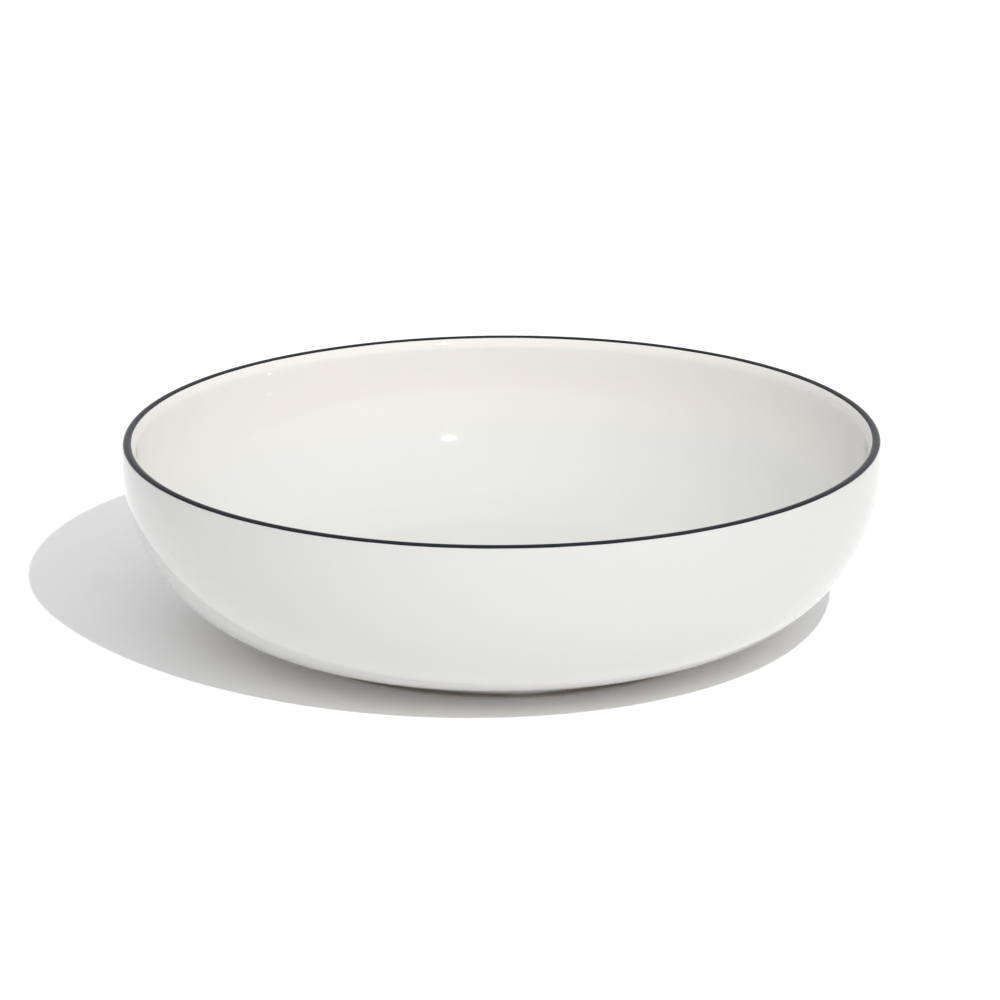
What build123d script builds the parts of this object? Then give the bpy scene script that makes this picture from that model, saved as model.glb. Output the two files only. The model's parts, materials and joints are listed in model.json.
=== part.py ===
"""Low coupe serving bowl in glazed porcelain with a dark band on its lip.

Everything is a body of revolution about +Z. The bowl stands on z = 0, on the unglazed face of its
foot ring, and the origin is the centre of that face. All lengths are in millimetres, and angles in
degrees up from horizontal.

A bowl like this is one firing, so its nodes are its layers: the clay body, the glaze coats that
stop at the wiped foot face, and the coloured band that is fired over the lip. The outline below is
the finished surface, glaze included. The clay is that outline offset inwards by the thickness of
the glaze, and each coat fills its share of the gap between the two.
"""

import os
from math import asin, cos, degrees, radians, sin, tan

from build123d import *

# Overall size
overall_diameter = 300.0
overall_height = 80.0
glaze_thickness = 0.25

# Outside: arcs that run into one another, from the lip down to the sloping base
widest_height = 72.5
upper_wall_radius = 50.0
wall_radius = 72.5
wall_to_shoulder = -36.5
shoulder_radius = 56.0
shoulder_to_base = -74.7

# Lip: a tight round outside, a wider one inside, and an easing into the inner wall
lip_outer_radius = 1.9
lip_inner_radius = 2.3
lip_to_easing = 133.0
lip_easing_radius = 6.0

# Inside: a short upright stretch, the wall, the shoulder and a nearly flat floor
inner_wall_height = 69.4
inner_wall_radius = 66.0
inner_wall_to_shoulder = -40.0
inner_shoulder_radius = 45.0
floor_edge_slope = 0.7

# Foot ring, and the shallow well inside it
foot_outer_radius = 89.5
foot_width = 6.0
foot_draft = 0.1  # how far a side of the ring leans in over each millimetre that it goes down
foot_corner_radius = 2.0
foot_edge_radius = 0.8
well_height = 5.0
well_edge_slope = 0.8
unglazed_height = 1.2
below_table = 2.0  # the outline runs on this far below the table, where it is cut off

# Coloured band: the angles on the rounds of the lip where it ends
band_outer_end = 36.0
band_inner_end = 133.0
band_cutter_size = 10.0
band_sectors = 8  # the band is long and very thin, so its surface is divided


def moved(point, distance, angle):
    """The point at a distance and an angle from another."""
    return (point[0] + distance * cos(radians(angle)), point[1] + distance * sin(radians(angle)))


def arc(centre, radius, start, end):
    """The arc about a centre from one angle to another."""
    return CenterArc((*centre, 0), radius, start, end - start)


# Centres of the outside's arcs. A next centre lies on the normal where the two arcs meet.
upper_wall = (overall_diameter / 2 - upper_wall_radius, widest_height)
wall = (overall_diameter / 2 - wall_radius, widest_height)
shoulder = moved(wall, wall_radius - shoulder_radius, wall_to_shoulder)

# The outer round of the lip touches the upper wall, and both rounds share the highest point.
lip_reach = upper_wall_radius - lip_outer_radius
lip_start = degrees(asin((overall_height - lip_outer_radius - widest_height) / lip_reach))
lip_outer = moved(upper_wall, lip_reach, lip_start)
lip_inner = (lip_outer[0], overall_height - lip_inner_radius)
lip_easing = moved(lip_inner, lip_easing_radius - lip_inner_radius, lip_to_easing - 180)

# Centres of the inside's arcs. The centre of the dished floor is on the bowl's axis.
inner_wall = (lip_easing[0] - lip_easing_radius - inner_wall_radius, inner_wall_height)
inner_shoulder = moved(
    inner_wall, inner_wall_radius - inner_shoulder_radius, inner_wall_to_shoulder
)
floor_reach = inner_shoulder[0] / sin(radians(floor_edge_slope))
floor_centre = moved(inner_shoulder, floor_reach, 90 + floor_edge_slope)

# The base slopes down to the side of the foot ring, and the well's ceiling is a low dome.
base_start = moved(shoulder, shoulder_radius, shoulder_to_base)
base_slope = tan(radians(90 + shoulder_to_base))
base_drop = base_slope * (base_start[0] - foot_outer_radius)
foot_outer_height = (base_start[1] - base_drop) / (1 - base_slope * foot_draft)
foot_inner_radius = foot_outer_radius - foot_width
well_radius = foot_inner_radius - foot_draft * well_height
well_reach = well_radius / sin(radians(well_edge_slope))
well_centre = moved((well_radius, well_height), well_reach, 270 - well_edge_slope)
foot_outer_corner = (foot_outer_radius + foot_draft * foot_outer_height, foot_outer_height)
foot_inner_corner = (well_radius, well_height)


def outside():
    """The lip, the wall, the shoulder and the sloping base, down to the foot ring."""
    return [
        arc(lip_outer, lip_outer_radius, 90, lip_start),
        arc(upper_wall, upper_wall_radius, lip_start, 0),
        arc(wall, wall_radius, 0, wall_to_shoulder),
        arc(shoulder, shoulder_radius, wall_to_shoulder, shoulder_to_base),
        Line(base_start, foot_outer_corner),
    ]


def inside():
    """The lip, its easing, the wall, the shoulder and the floor, in to the axis."""
    easing_end = moved(lip_easing, lip_easing_radius, 180)
    floor_start = inner_shoulder_radius + floor_reach
    return [
        arc(lip_inner, lip_inner_radius, 90, lip_to_easing),
        arc(lip_easing, lip_easing_radius, lip_to_easing, 180),
        Line(easing_end, (easing_end[0], inner_wall_height)),
        arc(inner_wall, inner_wall_radius, 0, inner_wall_to_shoulder),
        arc(
            inner_shoulder,
            inner_shoulder_radius,
            inner_wall_to_shoulder,
            floor_edge_slope - 90,
        ),
        arc(floor_centre, floor_start, floor_edge_slope - 90, -90),
    ]


def underside():
    """The foot ring, run on below the table, and the ceiling of the well, in to the axis."""
    lean = foot_draft * below_table
    outer_end = (foot_outer_radius - lean, -below_table)
    inner_end = (foot_inner_radius + lean, -below_table)
    return [
        Polyline(foot_outer_corner, outer_end, inner_end, foot_inner_corner),
        arc(well_centre, well_reach, 90 - well_edge_slope, 90),
    ]


def finished_section():
    """The finished surface's outline on one side of the axis, radius across and height up."""
    edges = Curve() + outside() + inside() + underside()
    low, high = edges.vertices().filter_by_position(Axis.X, -0.01, 0.01).sort_by(Axis.Y)
    section = make_face(edges + Line(low.center(), high.center()))
    corners = section.vertices().filter_by(
        lambda vertex: min(
            (vertex.center() - Vector(*corner)).length
            for corner in (foot_outer_corner, foot_inner_corner)
        )
        < 0.01
    )
    return fillet(corners, foot_corner_radius)


def above(height):
    """The part of the section's plane that lies outside the axis and over a height."""
    return Pos(0, height) * Rectangle(
        overall_diameter, overall_height, align=(Align.MIN, Align.MIN)
    )


def clay_section(finished):
    """The finished section less the glaze all round it, with a rounded face on the table."""
    whole = finished + mirror(finished, about=Plane.YZ)
    clay = offset(whole, -glaze_thickness) & above(0)
    face_ends = clay.vertices().filter_by_position(Axis.Y, -0.01, 0.01)
    return fillet(face_ends, foot_edge_radius)


def band_cutter():
    """The wedge of the section's plane that the coloured band lies in."""
    return make_face(
        Polyline(
            lip_outer,
            moved(lip_outer, band_cutter_size, band_outer_end),
            moved(lip_outer, 2 * band_cutter_size, 90),
            moved(lip_inner, band_cutter_size, band_inner_end),
            lip_inner,
            close=True,
        )
    )


def turned(section):
    """A section swept once round the bowl's axis."""
    return revolve(Plane.XZ * section, Axis.Z)


def turned_in_sectors(section, count):
    """A section swept once round the axis, with its surface divided into equal sectors."""
    sector = revolve(Plane.XZ * section, Axis.Z, 360 / count)
    sides = sector.faces().filter_by(GeomType.PLANE, reverse=True)
    return Solid(Shell([Rot(0, 0, 360 / count * i) * side for i in range(count) for side in sides]))


finished = finished_section()
clay = clay_section(finished)
coat = (finished & above(unglazed_height)) - clay
band = coat & band_cutter()
well_coat, inner_coat, outer_coat = (coat - band_cutter()).faces().sort_by(Axis.X)

nodes = {
    "bowl_body": turned(clay),
    "interior_glaze": turned(inner_coat),
    "exterior_glaze": turned(outer_coat),
    "foot_well_glaze": turned(well_coat),
    "rim_band": turned_in_sectors(band, band_sectors),
}

os.makedirs("parts", exist_ok=True)
for name, solid in nodes.items():
    export_step(solid, f"parts/{name}.step")
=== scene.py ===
"""Looks for the porcelain serving bowl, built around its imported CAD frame.

Everything is in metres and in the frame's own axes: +Z is up, the table is z = 0 and the bowl's
axis is x = y = 0. The glaze coats and the coloured band are turned again here from the same arcs as
the CAD, fine enough for a gloss surface, with the small unevenness of real ware: a glaze that rolls
up where the foot was wiped, a band whose edges waver, and faint rings from the wheel underneath.
"""

import json
from bisect import bisect
from math import asin, atan2, cos, degrees, exp, hypot, pi, radians, sin, tan

import bpy
from mathutils import Matrix, Vector


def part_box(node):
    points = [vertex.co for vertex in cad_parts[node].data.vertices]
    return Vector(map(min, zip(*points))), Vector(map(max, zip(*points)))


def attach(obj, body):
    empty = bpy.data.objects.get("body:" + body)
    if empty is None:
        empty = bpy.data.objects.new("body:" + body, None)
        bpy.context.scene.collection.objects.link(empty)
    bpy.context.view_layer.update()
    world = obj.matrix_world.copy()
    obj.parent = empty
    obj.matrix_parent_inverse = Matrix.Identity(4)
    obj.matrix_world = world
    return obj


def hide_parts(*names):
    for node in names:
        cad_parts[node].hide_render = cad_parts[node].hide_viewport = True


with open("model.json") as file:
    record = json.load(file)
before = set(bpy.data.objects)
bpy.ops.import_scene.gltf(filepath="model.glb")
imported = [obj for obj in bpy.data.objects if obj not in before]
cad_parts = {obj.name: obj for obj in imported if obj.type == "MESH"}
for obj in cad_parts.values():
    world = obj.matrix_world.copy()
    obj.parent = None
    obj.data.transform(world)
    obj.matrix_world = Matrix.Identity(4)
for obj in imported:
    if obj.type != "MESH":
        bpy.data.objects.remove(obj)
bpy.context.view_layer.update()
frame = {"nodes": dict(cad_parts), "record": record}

MM = 0.001

# Sizes from the frame
WIDEST_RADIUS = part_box("exterior_glaze")[1][0]
LIP_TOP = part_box("rim_band")[1][2]
UNGLAZED_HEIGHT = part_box("exterior_glaze")[0][2]
GLAZE = LIP_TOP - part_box("bowl_body")[1][2]
FOOT_MIDDLE = frame["record"]["mounts"][0]["pos_m"][0]

# Outside: arcs that run into one another, from the lip down to the sloping base
WIDEST_HEIGHT = 72.5 * MM
UPPER_WALL_RADIUS = 50 * MM
WALL_RADIUS = 72.5 * MM
WALL_TO_SHOULDER = -36.5
SHOULDER_RADIUS = 56 * MM
SHOULDER_TO_BASE = -74.7

# Lip: a tight round outside, a wider one inside, and an easing into the inner wall
LIP_OUTER_RADIUS = 1.9 * MM
LIP_INNER_RADIUS = 2.3 * MM
LIP_TO_EASING = 133
LIP_EASING_RADIUS = 6 * MM

# Inside: a short upright stretch, the wall, the shoulder and a nearly flat floor
INNER_WALL_HEIGHT = 69.4 * MM
INNER_WALL_RADIUS = 66 * MM
INNER_WALL_TO_SHOULDER = -40
INNER_SHOULDER_RADIUS = 45 * MM
FLOOR_EDGE_SLOPE = 0.7

# Foot ring and the well inside it
FOOT_WIDTH = 6 * MM
FOOT_DRAFT = 0.1
FOOT_CORNER_RADIUS = 2 * MM
WELL_HEIGHT = 5 * MM
WELL_EDGE_SLOPE = 0.8

# Coloured band: the angles on the rounds of the lip where it ends
BAND_OUTER_END = 36
BAND_INNER_END = 133

# The band's small unevenness, and how it joins the glaze
BAND_BLEED = 0.1 * MM  # how far its colour spreads past the CAD's band, on each side
BAND_WAVER = 0.07 * MM
BAND_RELIEF = 0.03 * MM  # how deep the glaze dips under the band
# The dip: millimetres in under the band, and how far the glaze sinks as a share of the relief
GLAZE_DIP_SHAPE = [(-0.1, 0), (-0.01, 0), (0.08, 1), (0.9, 1)]
BAND_EDGE_WIDTH = 0.12 * MM
# The soft edge: millimetres in from it, and how far the band sinks as a share of the relief
BAND_EDGE_SHAPE = [(0, 1.3), (0.02, 0.5), (0.06, 0.12)]

# The glaze's small unevenness
GLAZE_WAVER = 0.12 * MM
GLAZE_ROLL = 0.06 * MM  # how high it rolls up where the foot was wiped
# The roll: millimetres back from the glaze's end, and how far it rises as a share of its height
GLAZE_ROLL_SHAPE = [(0, -1.2), (0.04, 0), (0.14, 0.7), (0.3, 1), (0.5, 0.85), (0.8, 0.35), (1.2, 0)]
GLAZE_POOL = 0.15 * MM  # how much thicker it is in the corner over the foot ring
GLAZE_POOL_REACH = 1 * MM
WHEEL_RING_DEPTH = 0.012 * MM
WHEEL_RING_PITCH = 3.1 * MM
WHEEL_SWELL_PITCH = 7.3 * MM
WHEEL_RING_FADE = 6 * MM

# How finely the coats are turned
SEGMENTS = 480
BAND_SEGMENTS = 768
HIDDEN_STEP = 3  # the side against the clay keeps every third point
FINE_END = 5 * MM  # the last stretch of the outer glaze, which has more points
ON_AXIS = 1e-7

# Camera
CAMERA_DISTANCE = 1.7471
CAMERA_HEIGHT = 0.5871
CAMERA_PITCH = 17.03
CAMERA_YAW = -0.025
CAMERA_ROLL = -0.254
SENSOR_WIDTH = 36
FOCAL_LENGTH = 165.6

# Heights between which a glaze changes its tint: a dark line just above the table; on the outside, a
# lighter lower part that is painted light thrown up from the table; on the inside, the floor where the
# glaze pooled
DARK_FOOT_LINE_HEIGHTS = (1.8 * MM, 3.2 * MM)
OUTSIDE_PAINTED_BOUNCE_HEIGHTS = (11 * MM, 18 * MM)
INSIDE_POOL_HEIGHTS = (38 * MM, 58 * MM)

# Surroundings and light
FLOOR_HALF_WIDTH = 6.0
KEY_PLACE = (0.356, -0.879, 0.915)
KEY_RADIUS = 0.008
KEY_POWER_ON_TABLE = 27
KEY_POWER_ON_BOWL = 14
KEY_TINT_ON_TABLE = (1.0, 1.0, 1.0)
KEY_TINT_ON_BOWL = (1.0, 1.0, 0.90)
WASH_PLACE = (0.0, 1.7, 1.3)
WASH_SIZE = 1.2
WASH_POWER = 3.0
ROOM_BRIGHT_SIDE = (0.45, -0.85, -0.27)
ROOM_BRIGHT = 1.19
ROOM_DARK = 0.53


def moved(point, distance, angle):
    """The point at a distance and an angle from another, in the section's plane."""
    return (point[0] + distance * cos(radians(angle)), point[1] + distance * sin(radians(angle)))


def arc(centre, radius, start, end, count):
    """Points along an arc from one angle to another, without the last one."""
    return [moved(centre, radius, start + (end - start) * i / count) for i in range(count)]


def line(start, end, count):
    """Points along a straight stretch, without the last one."""
    return [
        (start[0] + (end[0] - start[0]) * i / count, start[1] + (end[1] - start[1]) * i / count)
        for i in range(count)
    ]


class Outline:
    """A line in the section's plane that is read by its length. Air lies on its left."""

    def __init__(self, points):
        self.points = points
        self.lengths = [0.0]
        for (r0, z0), (r1, z1) in zip(points, points[1:]):
            self.lengths.append(self.lengths[-1] + hypot(r1 - r0, z1 - z0))
        self.normals = []
        for i in range(len(points)):
            r0, z0 = points[max(i - 1, 0)]
            r1, z1 = points[min(i + 1, len(points) - 1)]
            size = hypot(r1 - r0, z1 - z0)
            self.normals.append(((z0 - z1) / size, (r1 - r0) / size))

    def nearest(self, point):
        """The length at which the line comes nearest to a point."""
        gaps = [hypot(r - point[0], z - point[1]) for r, z in self.points]
        return self.lengths[gaps.index(min(gaps))]

    def at(self, length, depth=0.0):
        """The point at a length along the line and a depth under it."""
        i = min(max(bisect(self.lengths, length) - 1, 0), len(self.points) - 2)
        part = (length - self.lengths[i]) / (self.lengths[i + 1] - self.lengths[i])
        r, z, across, up = (
            a + (b - a) * part
            for a, b in zip(self.points[i] + self.normals[i], self.points[i + 1] + self.normals[i + 1])
        )
        return (max(r - across * depth, 0.0), z - up * depth)


# Centres of the arcs, worked out as in the CAD
upper_wall = (WIDEST_RADIUS - UPPER_WALL_RADIUS, WIDEST_HEIGHT)
wall = (WIDEST_RADIUS - WALL_RADIUS, WIDEST_HEIGHT)
shoulder = moved(wall, WALL_RADIUS - SHOULDER_RADIUS, WALL_TO_SHOULDER)
lip_reach = UPPER_WALL_RADIUS - LIP_OUTER_RADIUS
lip_start = degrees(asin((LIP_TOP - LIP_OUTER_RADIUS - WIDEST_HEIGHT) / lip_reach))
lip_outer = moved(upper_wall, lip_reach, lip_start)
lip_inner = (lip_outer[0], LIP_TOP - LIP_INNER_RADIUS)
lip_easing = moved(lip_inner, LIP_EASING_RADIUS - LIP_INNER_RADIUS, LIP_TO_EASING - 180)
inner_wall = (lip_easing[0] - LIP_EASING_RADIUS - INNER_WALL_RADIUS, INNER_WALL_HEIGHT)
inner_shoulder = moved(
    inner_wall, INNER_WALL_RADIUS - INNER_SHOULDER_RADIUS, INNER_WALL_TO_SHOULDER
)
floor_reach = inner_shoulder[0] / sin(radians(FLOOR_EDGE_SLOPE))
floor_centre = moved(inner_shoulder, floor_reach, 90 + FLOOR_EDGE_SLOPE)

base_start = moved(shoulder, SHOULDER_RADIUS, SHOULDER_TO_BASE)
base_angle = 90 + SHOULDER_TO_BASE
foot_outer = FOOT_MIDDLE + FOOT_WIDTH / 2
foot_inner = FOOT_MIDDLE - FOOT_WIDTH / 2
base_drop = tan(radians(base_angle)) * (base_start[0] - foot_outer)
corner_height = (base_start[1] - base_drop) / (1 - tan(radians(base_angle)) * FOOT_DRAFT)
foot_corner = (foot_outer + FOOT_DRAFT * corner_height, corner_height)
well_radius = foot_inner - FOOT_DRAFT * WELL_HEIGHT
well_reach = well_radius / sin(radians(WELL_EDGE_SLOPE))
well_centre = moved((well_radius, WELL_HEIGHT), well_reach, 270 - WELL_EDGE_SLOPE)


def rounded_corner(before, corner, after, radius, count):
    """Points round a corner between two straight stretches, and nothing of the stretches."""
    one = (Vector(before) - Vector(corner)).normalized()
    other = (Vector(after) - Vector(corner)).normalized()
    half = one.angle(other) / 2
    centre = Vector(corner) + (one + other).normalized() * radius / sin(half)
    start = Vector(corner) + one * radius / tan(half) - centre
    end = Vector(corner) + other * radius / tan(half) - centre
    first = degrees(atan2(start.y, start.x))
    turn = degrees(atan2(start.x * end.y - start.y * end.x, start.dot(end)))
    return arc(centre, radius, first, first + turn, count) + [tuple(centre + end)]


def upper_outline():
    """The surface from the floor's centre, up the inside, over the lip and down to the table."""
    easing_end = moved(lip_easing, LIP_EASING_RADIUS, 180)
    foot_end = (foot_outer, 0.0)
    floor_radius = INNER_SHOULDER_RADIUS + floor_reach
    floor_edge = FLOOR_EDGE_SLOPE - 90
    base = line(base_start, foot_corner, 60)
    open_base = base[:-12]  # the rounded corner takes the rest
    return Outline(
        arc(floor_centre, floor_radius, -90, floor_edge, 200)
        + arc(inner_shoulder, INNER_SHOULDER_RADIUS, floor_edge, INNER_WALL_TO_SHOULDER, 120)
        + arc(inner_wall, INNER_WALL_RADIUS, INNER_WALL_TO_SHOULDER, 0, 120)
        + line((easing_end[0], INNER_WALL_HEIGHT), easing_end, 20)
        + arc(lip_easing, LIP_EASING_RADIUS, 180, LIP_TO_EASING, 60)
        + arc(lip_inner, LIP_INNER_RADIUS, LIP_TO_EASING, 90, 40)
        + arc(lip_outer, LIP_OUTER_RADIUS, 90, lip_start, 60)
        + arc(upper_wall, UPPER_WALL_RADIUS, lip_start, 0, 30)
        + arc(wall, WALL_RADIUS, 0, WALL_TO_SHOULDER, 120)
        + arc(shoulder, SHOULDER_RADIUS, WALL_TO_SHOULDER, SHOULDER_TO_BASE, 120)
        + open_base
        + rounded_corner(base_start, foot_corner, foot_end, FOOT_CORNER_RADIUS, 30)
        + [foot_end]
    )


def lower_outline():
    """The surface from the table, up the inside of the foot ring and in to the well's centre."""
    foot_end = (foot_inner, 0.0)
    corner = (well_radius, WELL_HEIGHT)
    ceiling = arc(well_centre, well_reach, 90 - WELL_EDGE_SLOPE, 90, 200)
    kept = [point for point in ceiling if point[0] < well_radius - 1.3 * FOOT_CORNER_RADIUS]
    return Outline(
        [foot_end]
        + rounded_corner(foot_end, corner, kept[0], FOOT_CORNER_RADIUS, 30)
        + kept
        + [(0.0, well_centre[1] + well_reach)]
    )


def spread(start, end, count):
    """Lengths from start to end, without the last one."""
    return [start + (end - start) * i / count for i in range(count)]


def wave(angle, size, turns):
    """A small periodic waver round the bowl, at most size either way."""
    return size * sum(sin(turn * angle + turn * turn) for turn in turns) / len(turns)


def turned(name, section_at, segments):
    """A closed mesh swept round the axis, from a function that gives its section at an angle."""
    vertices, faces, rings, poles = [], [], [], {}
    for i in range(segments):
        angle = 2 * pi * i / segments
        ring = []
        for j, (r, z) in enumerate(section_at(angle)):
            if r < ON_AXIS and j in poles:
                ring.append(poles[j])
                continue
            if r < ON_AXIS:
                poles[j] = len(vertices)
            ring.append(len(vertices))
            vertices.append((r * cos(angle), r * sin(angle), z))
        rings.append(ring)
    for ring, after in zip(rings, rings[1:] + rings[:1]):
        for j in range(len(ring)):
            k = (j + 1) % len(ring)
            corners = [ring[j], after[j], after[k], ring[k]]
            face = [c for n, c in enumerate(corners) if c != corners[n - 1]]
            if len(face) > 2:
                faces.append(face)
    mesh = bpy.data.meshes.new(name)
    mesh.from_pydata(vertices, [], faces)
    mesh.shade_smooth()
    piece = bpy.data.objects.new(name, mesh)
    bpy.context.scene.collection.objects.link(piece)
    return piece


upper = upper_outline()
lower = lower_outline()

# Lengths along the upper outline at which its stretches, the band and the glaze start or end
inner_shoulder_start = upper.nearest(
    (inner_shoulder[0], inner_shoulder[1] - INNER_SHOULDER_RADIUS)
)
inner_wall_start = upper.nearest(moved(inner_wall, INNER_WALL_RADIUS, INNER_WALL_TO_SHOULDER))
band_start = upper.nearest(moved(lip_inner, LIP_INNER_RADIUS, BAND_INNER_END))
easing_start = band_start - radians(180 - LIP_TO_EASING) * LIP_EASING_RADIUS
band_end = upper.nearest(moved(lip_outer, LIP_OUTER_RADIUS, BAND_OUTER_END))
wall_start = upper.nearest((WIDEST_RADIUS, WIDEST_HEIGHT))
shoulder_start = upper.nearest(moved(wall, WALL_RADIUS, WALL_TO_SHOULDER))
base_line_start = upper.nearest(base_start)
foot_corner_place = upper.nearest(foot_corner)
glaze_end = upper.lengths[-1] - UNGLAZED_HEIGHT


def band_edges(angle):
    """The lengths at which the coloured band starts and ends. Its colour bleeds in the firing."""
    return (
        band_start - BAND_BLEED + wave(angle, BAND_WAVER, (3, 8, 17, 31, 58)),
        band_end + BAND_BLEED + wave(angle + 1, BAND_WAVER, (2, 7, 19, 37, 61)),
    )


def with_hidden_side(outline, lengths, depths):
    """A closed section: the seen side, and back in longer steps along the side against the clay."""
    seen = [outline.at(length, depth) for length, depth in zip(lengths, depths)]
    kept = lengths[:-1:HIDDEN_STEP] + lengths[-1:]
    return seen + [outline.at(length, GLAZE) for length in reversed(kept)]


def interior_section(angle):
    """Glaze from the floor's centre up to the band, where it dips and runs on under it."""
    edge = band_edges(angle)[0]
    open_lengths = (
        spread(0, inner_shoulder_start, 30)
        + spread(inner_shoulder_start, inner_wall_start, 24)
        + spread(inner_wall_start, easing_start, 28)
        + spread(easing_start, edge + GLAZE_DIP_SHAPE[0][0] * MM, 10)
    )
    lengths = open_lengths + [edge + inwards * MM for inwards, _ in GLAZE_DIP_SHAPE]
    depths = [0.0] * len(open_lengths) + [BAND_RELIEF * sink for _, sink in GLAZE_DIP_SHAPE]
    return with_hidden_side(upper, lengths, depths)


def exterior_section(angle):
    """Glaze from under the band down the outside. It pools over the foot, and ends in a roll."""
    edge = band_edges(angle)[1]
    end = glaze_end + wave(angle, GLAZE_WAVER, (2, 5, 11, 23, 41))
    lengths = [edge - inwards * MM for inwards, _ in reversed(GLAZE_DIP_SHAPE[1:])]
    depths = [BAND_RELIEF * sink for _, sink in reversed(GLAZE_DIP_SHAPE[1:])]
    open_lengths = (
        spread(edge - GLAZE_DIP_SHAPE[0][0] * MM, wall_start, 12)
        + spread(wall_start, shoulder_start, 40)
        + spread(shoulder_start, base_line_start, 52)
        + spread(base_line_start, end - FINE_END, 7)
        + spread(end - FINE_END, end - GLAZE_ROLL_SHAPE[-1][0] * MM, 12)
    )
    for length in open_lengths:
        from_corner = (length - foot_corner_place) / GLAZE_POOL_REACH
        lengths.append(length)
        depths.append(-GLAZE_POOL * exp(-(from_corner**2)))
    lengths += [end - back * MM for back, _ in reversed(GLAZE_ROLL_SHAPE)]
    depths += [-GLAZE_ROLL * rise for _, rise in reversed(GLAZE_ROLL_SHAPE)]
    return with_hidden_side(upper, lengths, depths)


def well_section(angle):
    """Glaze from its roll inside the foot ring to the well's centre, with rings from the wheel."""
    start = UNGLAZED_HEIGHT + wave(angle + 2, GLAZE_WAVER, (3, 7, 13, 29, 43))
    corner = WELL_HEIGHT + 1.5 * MM
    axis = lower.lengths[-1]
    lengths = [start + back * MM for back, _ in GLAZE_ROLL_SHAPE[:-1]]
    depths = [-GLAZE_ROLL * rise for _, rise in GLAZE_ROLL_SHAPE[:-1]]
    roll_end = start + GLAZE_ROLL_SHAPE[-1][0] * MM
    for length in spread(roll_end, corner, 12) + spread(corner, axis, 120) + [axis]:
        across = axis - length
        fade = min(max((length - corner) / WHEEL_RING_FADE, 0), min(across / WHEEL_RING_FADE, 1))
        swell = 0.6 * sin(2 * pi * across / WHEEL_SWELL_PITCH)
        ripple = sin(2 * pi * across / WHEEL_RING_PITCH) + swell
        lengths.append(length)
        depths.append(WHEEL_RING_DEPTH * fade * (1 + ripple / 1.6))
    return with_hidden_side(lower, lengths, depths)


def band_section(angle):
    """The coloured band over the lip, level with the glaze, with soft edges that waver."""
    start, end = band_edges(angle)
    middle_end = end - BAND_EDGE_WIDTH
    middle = spread(start + BAND_EDGE_WIDTH, middle_end, 26) + [middle_end]
    lengths = [start + back * MM for back, _ in BAND_EDGE_SHAPE] + middle
    lengths += [end - back * MM for back, _ in reversed(BAND_EDGE_SHAPE)]
    sinks = [BAND_RELIEF * sink for _, sink in BAND_EDGE_SHAPE]
    depths = sinks + [0.0] * len(middle) + sinks[::-1]
    return with_hidden_side(upper, lengths, depths)


class Nodes:
    """A short way to write a material's node tree."""

    def __init__(self, material):
        material.use_nodes = True
        self.tree = material.node_tree
        self.shader = next(n for n in self.tree.nodes if n.type == "BSDF_PRINCIPLED")

    def add(self, kind, inputs=None, **settings):
        node = self.tree.nodes.new(kind)
        for name, value in settings.items():
            setattr(node, name, value)
        for name, value in (inputs or {}).items():
            self.put(node, name, value)
        return node

    def put(self, node, name, value):
        if isinstance(value, bpy.types.NodeSocket):
            self.tree.links.new(value, node.inputs[name])
        else:
            node.inputs[name].default_value = value

    def surface(self, inputs):
        """Sets the shader's own inputs."""
        for name, value in inputs.items():
            self.put(self.shader, name, value)

    def place(self):
        return self.add("ShaderNodeTexCoord").outputs["Object"]

    def noise(self, place, scale, detail=2.0, roughness=0.5):
        inputs = {"Vector": place, "Scale": scale, "Detail": detail, "Roughness": roughness}
        return self.add("ShaderNodeTexNoise", inputs).outputs["Fac"]

    def span(self, value, low, high, to_low, to_high):
        inputs = {
            "Value": value,
            "From Min": low,
            "From Max": high,
            "To Min": to_low,
            "To Max": to_high,
        }
        return self.add("ShaderNodeMapRange", inputs).outputs["Result"]

    def math(self, operation, first, second=0.0):
        node = self.add("ShaderNodeMath", {0: first, 1: second}, operation=operation)
        return node.outputs["Value"]

    def mix(self, factor, first, second):
        node = self.add("ShaderNodeMix", data_type="RGBA")
        self.put(node, 0, factor)
        self.put(node, 6, first)
        self.put(node, 7, second)
        return node.outputs[2]

    def bump(self, height, distance, normal=None):
        inputs = {"Height": height, "Distance": distance, "Strength": 1.0}
        if normal:
            inputs["Normal"] = normal
        return self.add("ShaderNodeBump", inputs).outputs["Normal"]

    def polar(self, place, per_turn, per_radius):
        """Coordinates round the bowl: angle, distance from the axis and height, each scaled."""
        parts = self.add("ShaderNodeSeparateXYZ", {"Vector": place}).outputs
        angle = self.math("ARCTAN2", parts["Y"], parts["X"])
        across = self.math("POWER", parts["X"], 2.0)
        along = self.math("POWER", parts["Y"], 2.0)
        radius = self.math("SQRT", self.math("ADD", across, along))
        inputs = {
            "X": self.math("MULTIPLY", angle, per_turn),
            "Y": self.math("MULTIPLY", radius, per_radius),
            "Z": self.math("MULTIPLY", parts["Z"], per_radius),
        }
        return self.add("ShaderNodeCombineXYZ", inputs).outputs["Vector"]


def colour(red, green, blue):
    return (red, green, blue, 1.0)


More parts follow.
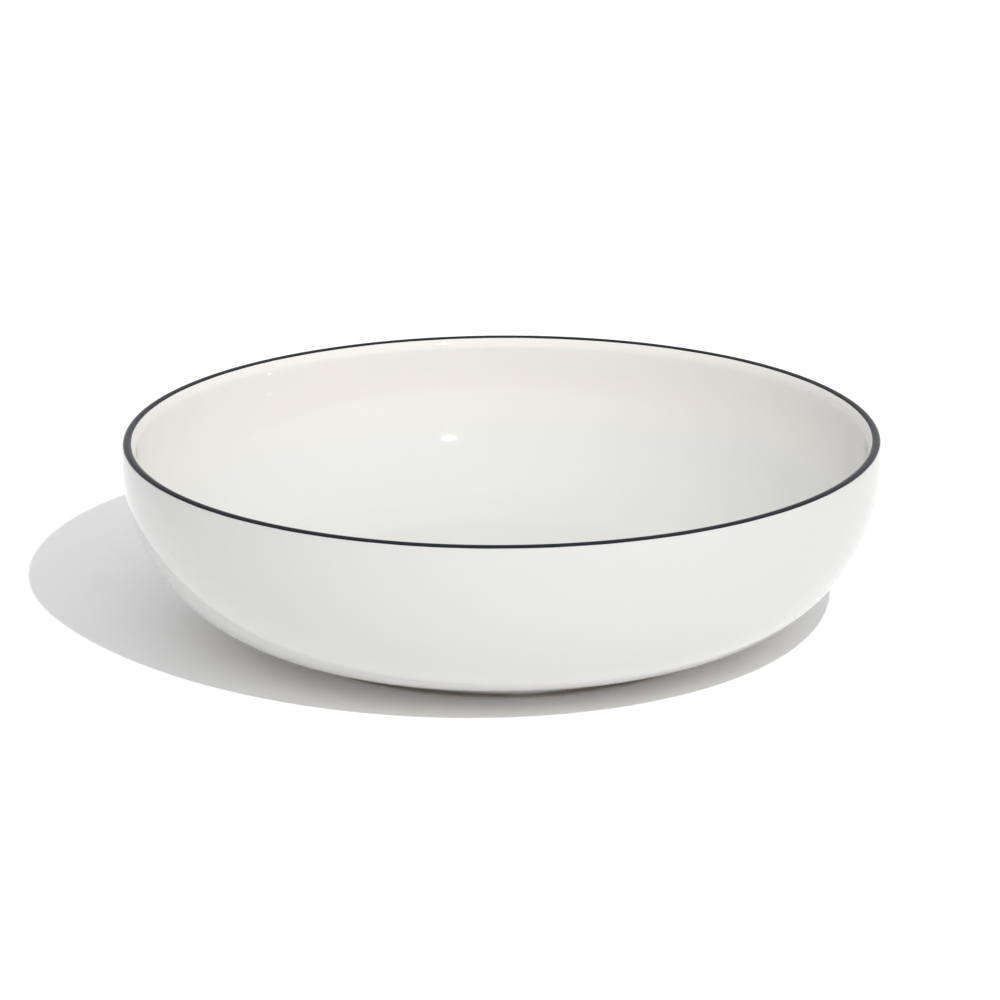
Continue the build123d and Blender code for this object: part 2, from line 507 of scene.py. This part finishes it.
def porcelain(name, thin, lower_tint, lower_tint_heights, gloss):
    """Clear gloss glaze over a white body, with another tint lower down and a dark line at its end
    just above the table. On the outside the lower tint is painted light from the table.
    """
    material = bpy.data.materials.new(name)
    nodes = Nodes(material)
    place = nodes.place()
    height = nodes.add("ShaderNodeSeparateXYZ", {"Vector": place}).outputs["Z"]
    clouds = nodes.noise(place, 22.0, 3.0)
    lifted = nodes.math("ADD", height, nodes.span(clouds, 0.3, 0.7, -0.5 * MM, 0.5 * MM))
    # Lower down the glaze takes another tint. On the outside this is painted light: a lighter, warmer
    # white standing in for light thrown up from the table
    upper_share = nodes.span(lifted, lower_tint_heights[0], lower_tint_heights[1], 0.0, 1.0)
    body = nodes.mix(upper_share, lower_tint, thin)
    # A dark line over the last few millimetres of the glaze above the table
    dark_foot_line = nodes.span(lifted, DARK_FOOT_LINE_HEIGHTS[0], DARK_FOOT_LINE_HEIGHTS[1], 1.0, 0.0)
    body = nodes.mix(dark_foot_line, body, colour(0.17, 0.16, 0.138))

    # Faint clouds of a warmer tint
    warmer = nodes.mix(0.5, body, colour(0.60, 0.58, 0.52))
    body = nodes.mix(nodes.span(clouds, 0.35, 0.75, 0.0, 0.06), body, warmer)

    # A few pin-prick specks of iron in the body
    cells = nodes.add("ShaderNodeTexVoronoi", {"Vector": place, "Scale": 38.0})
    chance = nodes.add("ShaderNodeSeparateColor", {"Color": cells.outputs["Color"]}).outputs["Red"]
    chosen = nodes.math("GREATER_THAN", chance, 0.8)
    speck = nodes.span(cells.outputs["Distance"], 0.004, 0.007, 0.5, 0.0)
    body = nodes.mix(nodes.math("MULTIPLY", speck, chosen), body, colour(0.22, 0.15, 0.09))

    # Soft ripple of the fired glaze, over faint rings left by turning
    peel = nodes.noise(place, 190.0, 2.0)
    normal = nodes.bump(peel, 0.006 * MM)
    rings = nodes.noise(nodes.polar(place, 0.4, 240.0), 1.0, 1.0)
    normal = nodes.bump(rings, 0.003 * MM, normal)
    smears = nodes.noise(place, 60.0, 4.0, 0.6)
    nodes.surface(
        {
            "Base Color": body,
            "Normal": normal,
            "Roughness": nodes.span(smears, 0.3, 0.75, 0.025, 0.06),
            "IOR": 1.5,
            "Specular IOR Level": gloss,
        }
    )
    return material


def banded_colour():
    """Gloss ceramic colour laid on with a brush as the bowl turned: streaked, thin in places."""
    material = bpy.data.materials.new("navy_ceramic_colour")
    nodes = Nodes(material)
    place = nodes.place()
    streaks = nodes.noise(nodes.polar(place, 5.0, 2400.0), 1.0, 3.0, 0.6)
    load = nodes.noise(place, 45.0, 3.0)
    brushed = nodes.span(streaks, 0.4, 0.75, 0.0, 1.0)
    thin = nodes.math("MULTIPLY", brushed, nodes.span(load, 0.35, 0.7, 0.15, 0.6))
    body = nodes.mix(thin, colour(0.006, 0.007, 0.012), colour(0.016, 0.019, 0.036))
    nodes.surface(
        {
            "Base Color": body,
            "Roughness": nodes.span(streaks, 0.3, 0.75, 0.10, 0.22),
            "Normal": nodes.bump(streaks, 0.004 * MM),
            "IOR": 1.5,
            "Specular IOR Level": 0.3,
            "Specular Tint": colour(0.80, 0.86, 1.0),
        }
    )
    return material


def bare_clay():
    """Fired bare porcelain: fine matt grain, stained in places, and darker up towards the glaze."""
    material = bpy.data.materials.new("bare_fired_clay")
    nodes = Nodes(material)
    place = nodes.place()
    grain = nodes.noise(place, 2600.0, 4.0, 0.7)
    stain = nodes.noise(place, 120.0, 4.0, 0.6)
    pale = colour(0.78, 0.74, 0.67)
    body = nodes.mix(nodes.span(grain, 0.35, 0.7, 0.0, 1.0), pale, colour(0.66, 0.61, 0.53))
    body = nodes.mix(nodes.span(stain, 0.5, 0.8, 0.0, 0.5), body, colour(0.55, 0.48, 0.39))
    # Darker from just above the table up to the glaze, joining the glaze's dark line at the foot
    height = nodes.add("ShaderNodeSeparateXYZ", {"Vector": place}).outputs["Z"]
    uneven = nodes.math("ADD", height, nodes.span(stain, 0.3, 0.7, -0.1 * MM, 0.1 * MM))
    dark_foot_line = nodes.span(uneven, 0.3 * MM, 0.7 * MM, 0.0, 1.0)
    body = nodes.mix(dark_foot_line, body, colour(0.30, 0.27, 0.22))
    nodes.surface(
        {
            "Base Color": body,
            "Roughness": nodes.span(grain, 0.3, 0.7, 0.65, 0.85),
            "Normal": nodes.bump(grain, 0.02 * MM),
            "IOR": 1.5,
        }
    )
    return material


def paper():
    """The pale sheet that the bowl stands on."""
    material = bpy.data.materials.new("paper")
    nodes = Nodes(material)
    tooth = nodes.noise(nodes.place(), 900.0, 3.0)
    low = colour(0.935, 0.935, 0.935)
    shade = nodes.mix(nodes.span(tooth, 0.3, 0.7, 0.0, 1.0), low, colour(0.95, 0.95, 0.95))
    nodes.surface({"Base Color": shade, "Roughness": 0.9, "Specular IOR Level": 0.0})
    return material


def finish(piece, node, material):
    """Hides the CAD part that a piece replaces, and gives the piece its body and its material."""
    piece.data.materials.append(material)
    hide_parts(node)
    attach(piece, "root")


def make_bowl():
    """The glaze coats and the band, turned finely, and the clay body as the CAD has it."""
    outer_tint = colour(0.595, 0.595, 0.59)
    # Painted light: the outside's lower part is a lighter, warmer white, standing in for the light
    # that the table throws up onto it
    painted_bounce_tint = colour(0.74, 0.72, 0.69)
    inner_tint = colour(0.765, 0.75, 0.725)
    floor_tint = colour(0.73, 0.735, 0.72)
    outside = porcelain("white_glaze_outside", outer_tint, painted_bounce_tint, OUTSIDE_PAINTED_BOUNCE_HEIGHTS, 0.35)
    inside = porcelain("white_glaze_inside", inner_tint, floor_tint, INSIDE_POOL_HEIGHTS, 0.5)
    inner_coat = turned("interior_glaze_coat", interior_section, SEGMENTS)
    outer_coat = turned("exterior_glaze_coat", exterior_section, SEGMENTS)
    well_coat = turned("foot_well_glaze_coat", well_section, SEGMENTS)
    band = turned("rim_band_colour", band_section, BAND_SEGMENTS)
    finish(inner_coat, "interior_glaze", inside)
    finish(outer_coat, "exterior_glaze", outside)
    finish(well_coat, "foot_well_glaze", outside)
    finish(band, "rim_band", banded_colour())
    clay = bare_clay()
    for slot in frame["nodes"]["bowl_body"].material_slots:
        slot.material = clay


def make_floor():
    """A flat pale sheet, wide enough to fill the view."""
    half = FLOOR_HALF_WIDTH
    mesh = bpy.data.meshes.new("floor")
    corners = [(-half, -half, 0), (half, -half, 0), (half, half, 0), (-half, half, 0)]
    mesh.from_pydata(corners, [], [(0, 1, 2, 3)])
    mesh.materials.append(paper())
    floor = bpy.data.objects.new("floor", mesh)
    bpy.context.scene.collection.objects.link(floor)
    return floor


def make_camera():
    """The photograph's view: a long lens from in front, looking down a little."""
    data = bpy.data.cameras.new("camera")
    data.sensor_width = SENSOR_WIDTH
    data.lens = FOCAL_LENGTH
    data.clip_end = 100
    camera = bpy.data.objects.new("camera", data)
    bpy.context.scene.collection.objects.link(camera)
    pitch = radians(CAMERA_PITCH)
    yaw = radians(CAMERA_YAW)
    roll = radians(CAMERA_ROLL)
    view = Vector((sin(yaw) * cos(pitch), cos(yaw) * cos(pitch), -sin(pitch)))
    level = view.cross(Vector((0, 0, 1))).normalized()
    upright = level.cross(view)
    right = cos(roll) * level + sin(roll) * upright
    up = cos(roll) * upright - sin(roll) * level
    turn = Matrix((right, up, -view)).transposed().to_4x4()
    camera.matrix_world = Matrix.Translation((0, -CAMERA_DISTANCE, CAMERA_HEIGHT)) @ turn
    bpy.context.scene.camera = camera


def hang(data, place, receivers):
    """Puts a lamp in its place, and lets it light only some pieces."""
    lamp = bpy.data.objects.new(data.name, data)
    lamp.location = place
    bpy.context.scene.collection.objects.link(lamp)
    lit = bpy.data.collections.new(f"{data.name}_lights")
    for piece in receivers:
        lit.objects.link(piece)
    lamp.light_linking.receiver_collection = lit


def make_key(name, power, tint, receivers):
    """A small hard lamp to the right, in front and above, as strong near as far."""
    data = bpy.data.lights.new(name, "POINT")
    data.energy = power
    data.color = tint
    data.shadow_soft_size = KEY_RADIUS
    data.use_nodes = True
    tree = data.node_tree
    emission = next(node for node in tree.nodes if node.type == "EMISSION")
    falloff = tree.nodes.new("ShaderNodeLightFalloff")
    falloff.inputs["Strength"].default_value = 1.0
    tree.links.new(falloff.outputs["Constant"], emission.inputs["Strength"])
    hang(data, KEY_PLACE, receivers)


def make_wash(floor):
    """A soft lamp over the far end of the table, which keeps it white."""
    data = bpy.data.lights.new("wash", "AREA")
    data.size = WASH_SIZE
    data.energy = WASH_POWER
    hang(data, WASH_PLACE, [floor])


def make_surroundings():
    """A white room, brighter on the side that the key is on."""
    world = bpy.data.worlds.new("studio")
    bpy.context.scene.world = world
    world.use_nodes = True
    tree = world.node_tree
    place = tree.nodes.new("ShaderNodeTexCoord")
    towards = tree.nodes.new("ShaderNodeVectorMath")
    towards.operation = "DOT_PRODUCT"
    towards.inputs[1].default_value = ROOM_BRIGHT_SIDE
    tree.links.new(place.outputs["Generated"], towards.inputs[0])
    level = tree.nodes.new("ShaderNodeMapRange")
    level.inputs["From Min"].default_value = -1.0
    level.inputs["To Min"].default_value = ROOM_DARK
    level.inputs["To Max"].default_value = ROOM_BRIGHT
    tree.links.new(towards.outputs["Value"], level.inputs["Value"])
    tree.links.new(level.outputs["Result"], tree.nodes["Background"].inputs["Strength"])
    tree.nodes["Background"].inputs["Color"].default_value = (1.0, 1.0, 1.0, 1.0)


make_camera()
make_bowl()
bowl = [piece for piece in bpy.context.scene.objects if piece.type == "MESH"]
floor = make_floor()
make_key("key_on_table", KEY_POWER_ON_TABLE, KEY_TINT_ON_TABLE, [floor])
make_key("key_on_bowl", KEY_POWER_ON_BOWL, KEY_TINT_ON_BOWL, bowl)
make_wash(floor)
make_surroundings()
bpy.context.scene.view_settings.view_transform = "Standard"
